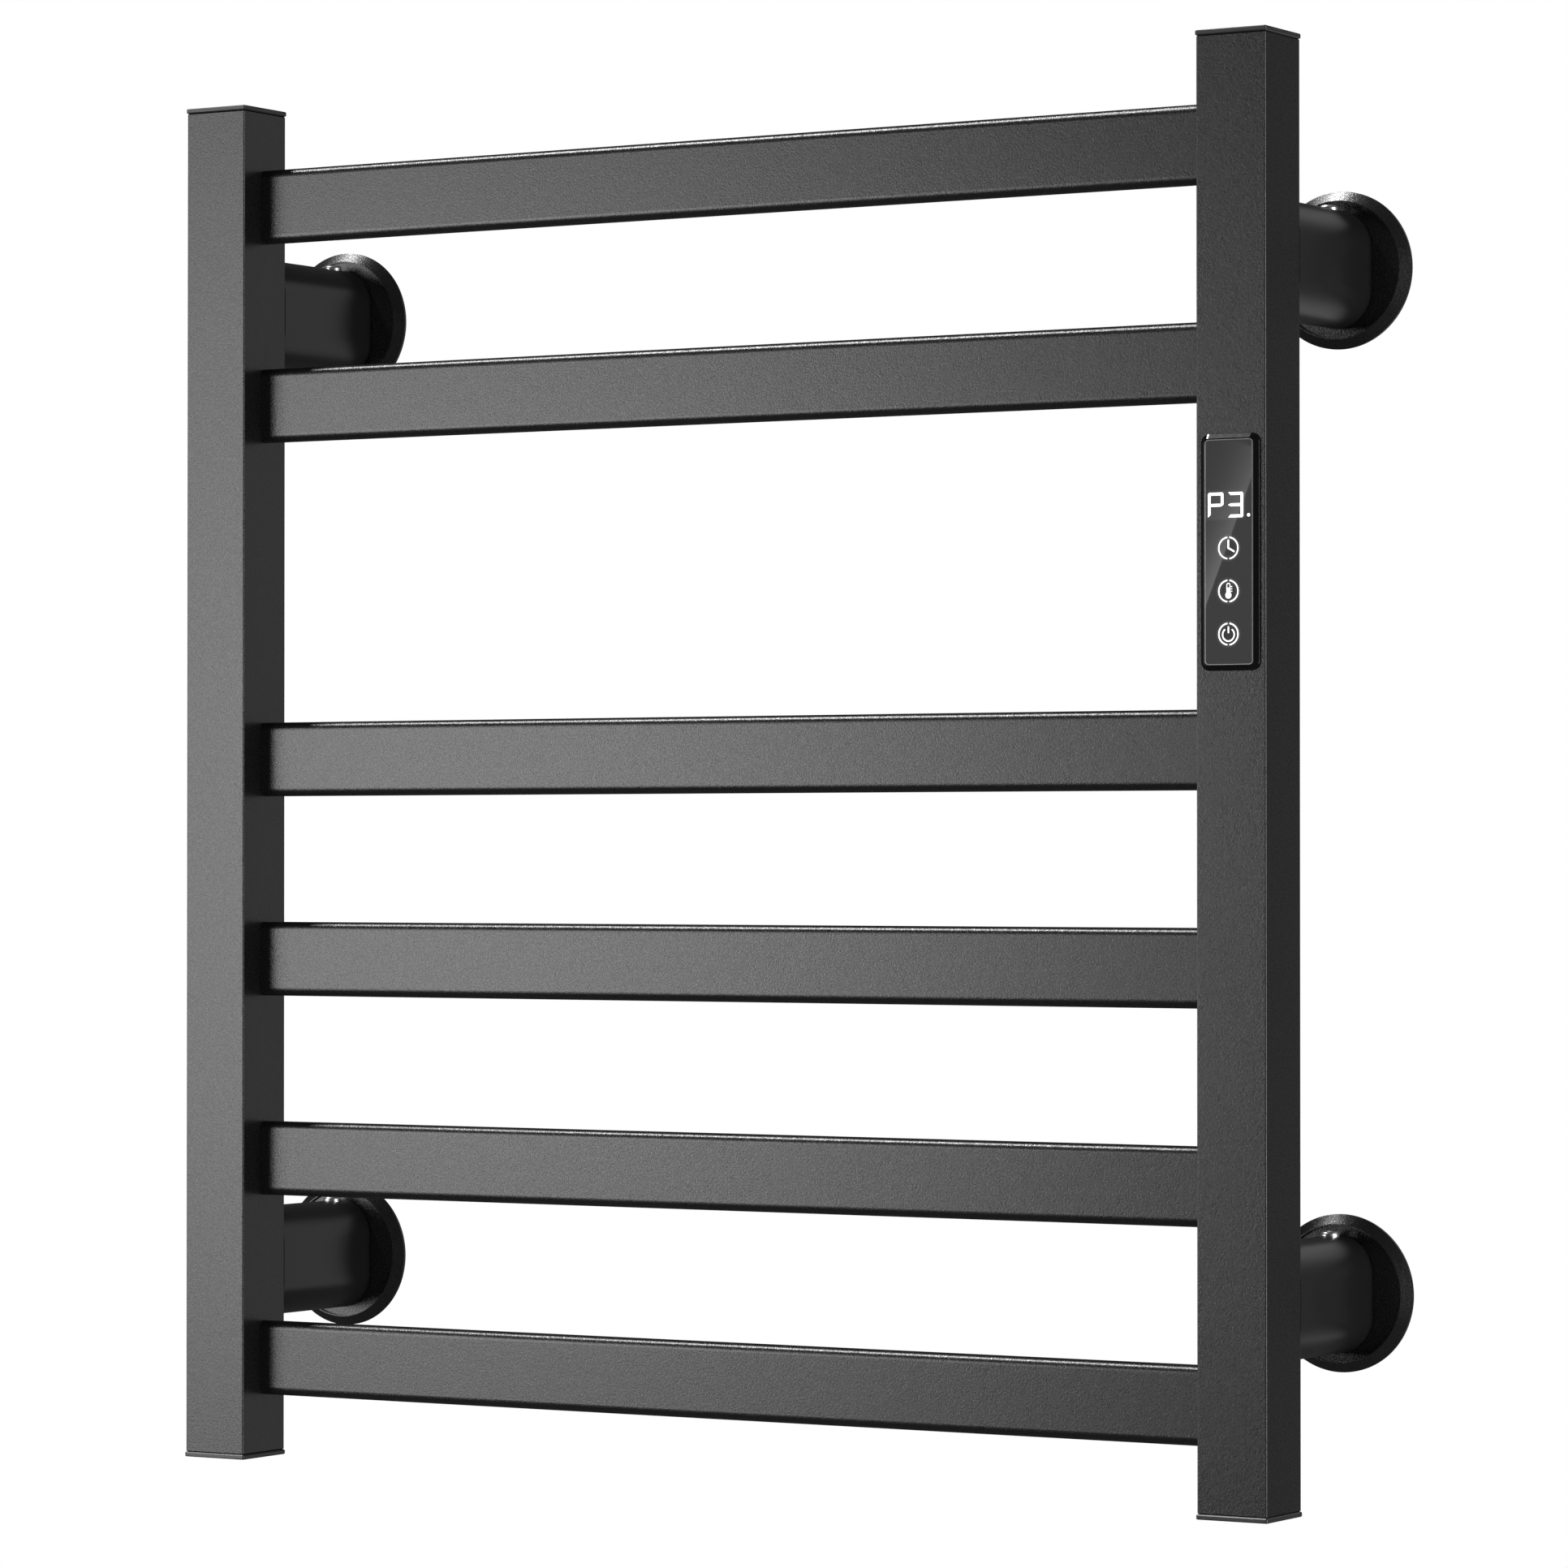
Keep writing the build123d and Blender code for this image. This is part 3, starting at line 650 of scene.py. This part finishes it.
# bar with round ends between two points of the panel
def makeRoundBar(name, start, end, stroke):
    run = Vector((end[0] - start[0], 0, end[1] - start[1]))
    half = stroke / 2
    middle = ((start[0] + end[0]) / 2, (start[1] + end[1]) / 2)
    reach = run.length / 2 + half
    bar = addMarkPlane(name, *middle, stroke, 2 * reach)
    startEdit(bar)
    for x in (middle[0] - half, middle[0] + half):
        for z in (middle[1] - reach, middle[1] + reach):
            roundPoint(bar, x, z, half * markLook["endRound"], markLook["endSteps"])
    bpy.ops.mesh.select_all(action="SELECT")
    turn = math.atan2(run.x, run.z)
    bpy.ops.transform.rotate(value=-turn, orient_axis="Y", orient_type="GLOBAL",
                             center_override=panelPlace(*middle))
    thickenMark()
    return bar


# flat ring with openings at some angles, measured from straight up, and round ends
def makeOpenRing(name, z, radius, stroke, openings):
    sides = keyLook["ringSides"]
    outer = radius + stroke / 2
    middle = panelPlace(keyLook["left"], z)
    deselectAll()
    bpy.ops.mesh.primitive_circle_add(vertices=sides, radius=outer, fill_type="NOTHING",
                                      rotation=(math.radians(90), 0, 0), location=middle)
    ring = bpy.context.object
    ring.name = name
    applyPlace()
    startEdit(ring)
    bpy.ops.mesh.select_mode(type="EDGE")
    bpy.ops.mesh.select_all(action="SELECT")
    bpy.ops.mesh.extrude_edges_move()
    inner = (radius - stroke / 2) / outer
    bpy.ops.transform.resize(value=(inner, 1, inner), center_override=middle)

    def angleOf(place):
        return math.degrees(math.atan2(place.x - middle.x, place.z - middle.z))

    def inOpening(place, margin=0.0):
        turns = [abs((angleOf(place) - angle + 180) % 360 - 180) - half
                 for angle, half in openings]
        return min(turns) < margin

    pickFaces(ring, lambda place, normal: inOpening(place))
    bpy.ops.mesh.delete(type="FACE")
    pickPoints(ring, lambda place: inOpening(place, 180 / sides))
    bpy.ops.mesh.bevel(offset=stroke * keyLook["ringEndRound"], segments=keyLook["ringEndSteps"],
                       affect="VERTICES")
    thickenMark()
    return ring


def joinMarks(name, pieces):
    deselectAll()
    for piece in pieces:
        piece.select_set(True)
    bpy.context.view_layer.objects.active = pieces[0]
    bpy.ops.object.join()
    joined = bpy.context.object
    joined.name = name
    settle(joined, markFinish, "rack", markLook["smoothAngle"])


def makeFigures():
    segments = makeSegments()
    used = []
    for left, letters in zip(figureLook["left"], figureLook["segments"]):
        for letter in letters:
            bar = segments[letter].copy()
            bar.data = bar.data.copy()
            bpy.context.scene.collection.objects.link(bar)
            selectOnly(bar)
            bar.location.x = left - figureLook["left"][0]
            applyPlace()
            used.append(bar)
    for bar in segments.values():
        bpy.data.objects.remove(bar)
    used.append(makeDisc("levelPoint", *figureLook["pointPlace"], figureLook["pointRadius"],
                         figureLook["pointSides"]))
    joinMarks("levelFigures", used)


def keyRing(name, z):
    gap = keyLook["ringGap"]
    return makeOpenRing(name, z, keyLook["ringRadius"], keyLook["ringStroke"],
                        ((0, gap), (180, gap)))


timerLook = {
    "stroke": 0.00066,
    "minuteHand": (0.0, 0.0029),  # tip from the ring's middle
    "hourHand": (0.0024, -0.00135),
}


def makeTimerMark():
    x, z = keyLook["left"], keyLook["timerMiddle"]
    hands = []
    for hand in ("minuteHand", "hourHand"):
        tipX, tipZ = timerLook[hand]
        hands.append(makeRoundBar(hand, (x, z), (x + tipX, z + tipZ), timerLook["stroke"]))
    joinMarks("timerMark", [keyRing("timerRing", z)] + hands)


# heights are measured from the ring's middle
heatLook = {
    "stemHalf": 0.00082,
    "stemRound": 0.9,  # share of the stem's half width
    "stemSteps": 6,
    "stemTop": 0.0031,
    "slotLow": 0.0010,
    "slotWall": 0.38,  # share of the stem's half width
    "stemJoin": 0.2,  # the lower stem runs this share of the half width into the slot's frame
    "stemFoot": 0.0008,
    "bulbDrop": 0.0016,
    "bulbRadius": 0.0013,
    "bulbSides": 32,
    "tickLevels": (0.0017, 0.0008, -0.0001),
    "tickAway": 0.0005,
    "tickLength": 0.0007,
    "tickStroke": 0.00030,
}


# bulb, stem with a dark slot in its upper half, and three ticks
def makeHeatMark():
    x, z = keyLook["left"], keyLook["heatMiddle"]
    half = heatLook["stemHalf"]
    slotLow, stemTop = z + heatLook["slotLow"], z + heatLook["stemTop"]
    stem = addMarkPlane("heatStem", x, (slotLow + stemTop) / 2, 2 * half, stemTop - slotLow)
    startEdit(stem)
    for cornerX in (x - half, x + half):
        roundPoint(stem, cornerX, stemTop, half * heatLook["stemRound"], heatLook["stemSteps"])
    bpy.ops.mesh.select_mode(type="FACE")
    bpy.ops.mesh.select_all(action="SELECT")
    bpy.ops.mesh.inset(thickness=half * heatLook["slotWall"])
    bpy.ops.mesh.delete(type="FACE")
    thickenMark()
    baseTop, baseLow = slotLow + half * heatLook["stemJoin"], z - heatLook["stemFoot"]
    base = makePlainBar("heatStemLow", x, (baseTop + baseLow) / 2, 2 * half, baseTop - baseLow)
    bulb = makeDisc("heatBulb", x, z - heatLook["bulbDrop"], heatLook["bulbRadius"],
                    heatLook["bulbSides"])
    ticks = [makePlainBar("heatTick", x + half + heatLook["tickAway"], z + level,
                          heatLook["tickLength"], heatLook["tickStroke"])
             for level in heatLook["tickLevels"]]
    joinMarks("heatMark", [keyRing("heatRing", z), stem, base, bulb] + ticks)


powerLook = {
    "arcDrop": 0.0002,
    "arcRadius": 0.0025,
    "arcStroke": 0.00054,
    "arcGap": 36,  # degrees each side of the bar
    "barLow": 0.0006,
    "barHigh": 0.0027,
    "barStroke": 0.00058,
}


def makePowerMark():
    x, z = keyLook["left"], keyLook["powerMiddle"]
    arc = makeOpenRing("powerArc", z - powerLook["arcDrop"], powerLook["arcRadius"],
                       powerLook["arcStroke"], ((0, powerLook["arcGap"]),))
    bar = makeRoundBar("powerBar", (x, z + powerLook["barLow"]), (x, z + powerLook["barHigh"]),
                       powerLook["barStroke"])
    joinMarks("powerMark", [keyRing("powerRing", z), arc, bar])


makeGlass()
print("glass pane made")
makeFigures()
makeTimerMark()
makeHeatMark()
makePowerMark()
print("lit figures and key marks made")


cameraLook = {
    "place": (1.3055, -2.2012, -0.0306),
    "tilt": 90.696,
    "turn": 31.01,
    "lens": 140.06,
    "sensor": 36,
}
camera = bpy.data.objects.new("camera", bpy.data.cameras.new("camera"))
bpy.context.scene.collection.objects.link(camera)
camera.location = cameraLook["place"]
camera.rotation_euler = (math.radians(cameraLook["tilt"]), 0, math.radians(cameraLook["turn"]))
camera.data.lens = cameraLook["lens"]
camera.data.sensor_width = cameraLook["sensor"]
bpy.context.scene.camera = camera
bpy.context.scene.view_settings.view_transform = "Standard"
print("camera placed")


# strength of the white behind the object, and of the room in its reflections
roomLook = {
    "white": 1.0,
    "ambient": 0.06,
}


# white behind the object, a dim even room in its reflections
def makeWorld():
    world = bpy.data.worlds.new("room")
    bpy.context.scene.world = world
    world.use_nodes = True
    tree = world.node_tree
    sky = tree.nodes["Background"]
    path = tree.nodes.new("ShaderNodeLightPath")
    seen = addMath(tree, "MULTIPLY", path.outputs["Is Camera Ray"],
                   roomLook["white"] - roomLook["ambient"])
    tree.links.new(addMath(tree, "ADD", seen, roomLook["ambient"]), sky.inputs["Strength"])
    sky.inputs["Color"].default_value = (1, 1, 1, 1)


# glow is the light's own brightness, size its width and height in metres
lightLook = {
    "frontLeftWide": {"place": (-1.46, -1.62, 0.03), "towards": (-0.1, -0.05, 0.0),
                      "size": (1.10, 1.40), "glow": 3.6},
    "frontLeftCore": {"place": (-1.05, -1.60, 0.00), "towards": (-0.1, -0.05, 0.0),
                      "size": (0.46, 0.70), "glow": 5.0},
    "frontFill": {"place": (0.15, -2.4, 0.1), "towards": (0.0, 0.0, 0.0),
                  "size": (0.7, 1.6), "glow": 1.6},
    "topLamp": {"place": (-3.0, -1.2, 5.04), "towards": (0.0, 0.0, 0.0),
                "size": (0.5, 0.5), "glow": 260.0},
    "backRight": {"place": (0.30, 0.75, 0.05), "towards": (0.0, 0.0, 0.0),
                  "size": (0.42, 1.2), "glow": 0.44},
    "rightStrip": {"place": (2.00, -0.10, 0.0), "towards": (0.25, -0.08, 0.0),
                   "size": (0.60, 1.6), "glow": 12.0},
}
# narrow beam on the upper right rosette
beamLook = {
    "place": (-0.367, -0.069, 1.5),
    "towards": (0.238, 0.0, 0.236),
    "angle": 7.0,
    "blend": 0.4,
    "radius": 0.06,
    "power": 42.0,
}


def placeLamp(name, data, look):
    lamp = bpy.data.objects.new(name, data)
    bpy.context.scene.collection.objects.link(lamp)
    lamp.location = look["place"]
    aim = Vector(look["towards"]) - Vector(look["place"])
    lamp.rotation_euler = aim.to_track_quat("-Z", "Y").to_euler()
    return lamp


def makeLight(name, look):
    data = bpy.data.lights.new(name, "AREA")
    data.shape = "RECTANGLE"
    data.size, data.size_y = look["size"]
    data.energy = look["glow"] * math.pi * data.size * data.size_y
    light = placeLamp(name, data, look)
    light.visible_camera = False


def makeBeam():
    data = bpy.data.lights.new("rosetteBeam", "SPOT")
    data.energy = beamLook["power"]
    data.shadow_soft_size = beamLook["radius"]
    data.spot_size = math.radians(beamLook["angle"])
    data.spot_blend = beamLook["blend"]
    placeLamp("rosetteBeam", data, beamLook)


floorLook = {
    "drop": 1.0,  # below the rack's lowest point
    "radius": 6.0,
    "sides": 96,
    "colour": (0.82, 0.82, 0.82),
    "roughness": 0.6,
    "mottleSize": 0.3,
    "mottleDark": 0.99,  # share of the colour
    "glow": 0.45,
}


def makeFloor():
    deselectAll()
    low = cadBox[0][2]
    bpy.ops.mesh.primitive_circle_add(vertices=floorLook["sides"], radius=floorLook["radius"],
                                      fill_type="NGON", location=(0, 0, low - floorLook["drop"]))
    floor = bpy.context.object
    floor.name = "floor"
    pale = floorLook["colour"]
    finish, tree, shader = newFinish("paleFloor", pale, floorLook["roughness"])
    mottle = addNoise(tree, objectCoords(tree), floorLook["mottleSize"])
    tint = tintBetween(tree, mottle, [value * floorLook["mottleDark"] for value in pale], pale)
    tree.links.new(tint, shader.inputs["Base Color"])
    shader.inputs["Emission Color"].default_value = (1, 1, 1, 1)
    shader.inputs["Emission Strength"].default_value = floorLook["glow"]
    floor.data.materials.append(finish)
    floor.visible_glossy = False


# slanting sheen that the glass mirrors: its lower edge crosses the glass, and it fades away
# from that edge
shineLook = {
    "edgeHigh": (0.0140, 0.0386),  # on the glass, from its middle
    "edgeLow": (-0.0140, -0.0309),
    "fade": 0.026,  # how far over the glass the sheen reaches
    "fall": 3.0,  # how sharply it fades
    "distance": 0.12,  # share of the camera's distance
    "glowHigh": 1.4,
    "glowLow": 2.7,
}


def makeShineFinish():
    finish = bpy.data.materials.new("sheenGlow")
    finish.use_nodes = True
    tree = finish.node_tree
    tree.nodes.clear()
    place = tree.nodes.new("ShaderNodeSeparateXYZ")
    tree.links.new(tree.nodes.new("ShaderNodeUVMap").outputs["UV"], place.inputs["Vector"])
    nearEdge = addMath(tree, "SUBTRACT", 1.0, place.outputs["Y"])
    fade = addMath(tree, "POWER", nearEdge, shineLook["fall"])
    slope = addMath(tree, "MULTIPLY", place.outputs["X"],
                    shineLook["glowHigh"] - shineLook["glowLow"])
    glow = addMath(tree, "ADD", slope, shineLook["glowLow"])
    light = tree.nodes.new("ShaderNodeEmission")
    tree.links.new(addMath(tree, "MULTIPLY", fade, glow), light.inputs["Strength"])
    output = tree.nodes.new("ShaderNodeOutputMaterial")
    tree.links.new(light.outputs["Emission"], output.inputs["Surface"])
    return finish


def makeShine():
    eye = Vector(cameraLook["place"])
    mirrored = Vector((eye.x, 2 * glassFront - eye.y, eye.z))
    low = panelPlace(*shineLook["edgeLow"])
    high = panelPlace(*shineLook["edgeHigh"])
    along = (high - low).normalized()
    away = Vector((-along.z, 0, along.x)) * shineLook["fade"]
    deselectAll()
    bpy.ops.mesh.primitive_grid_add(x_subdivisions=1, y_subdivisions=1, size=1)
    sheen = bpy.context.object
    sheen.name = "sheenCard"
    for point in sheen.data.vertices:
        onGlass = (low if point.co.x < 0 else high) + (away if point.co.y > 0 else Vector())
        point.co = onGlass + (onGlass - mirrored) * shineLook["distance"]
    sheen.data.materials.append(makeShineFinish())
    sheen.visible_camera = False
    sheen.visible_shadow = False
    sheen.visible_diffuse = False


makeWorld()
for lightName, look in lightLook.items():
    makeLight(lightName, look)
makeBeam()
print("lights placed")
makeFloor()
makeShine()
print("floor and sheen card placed")
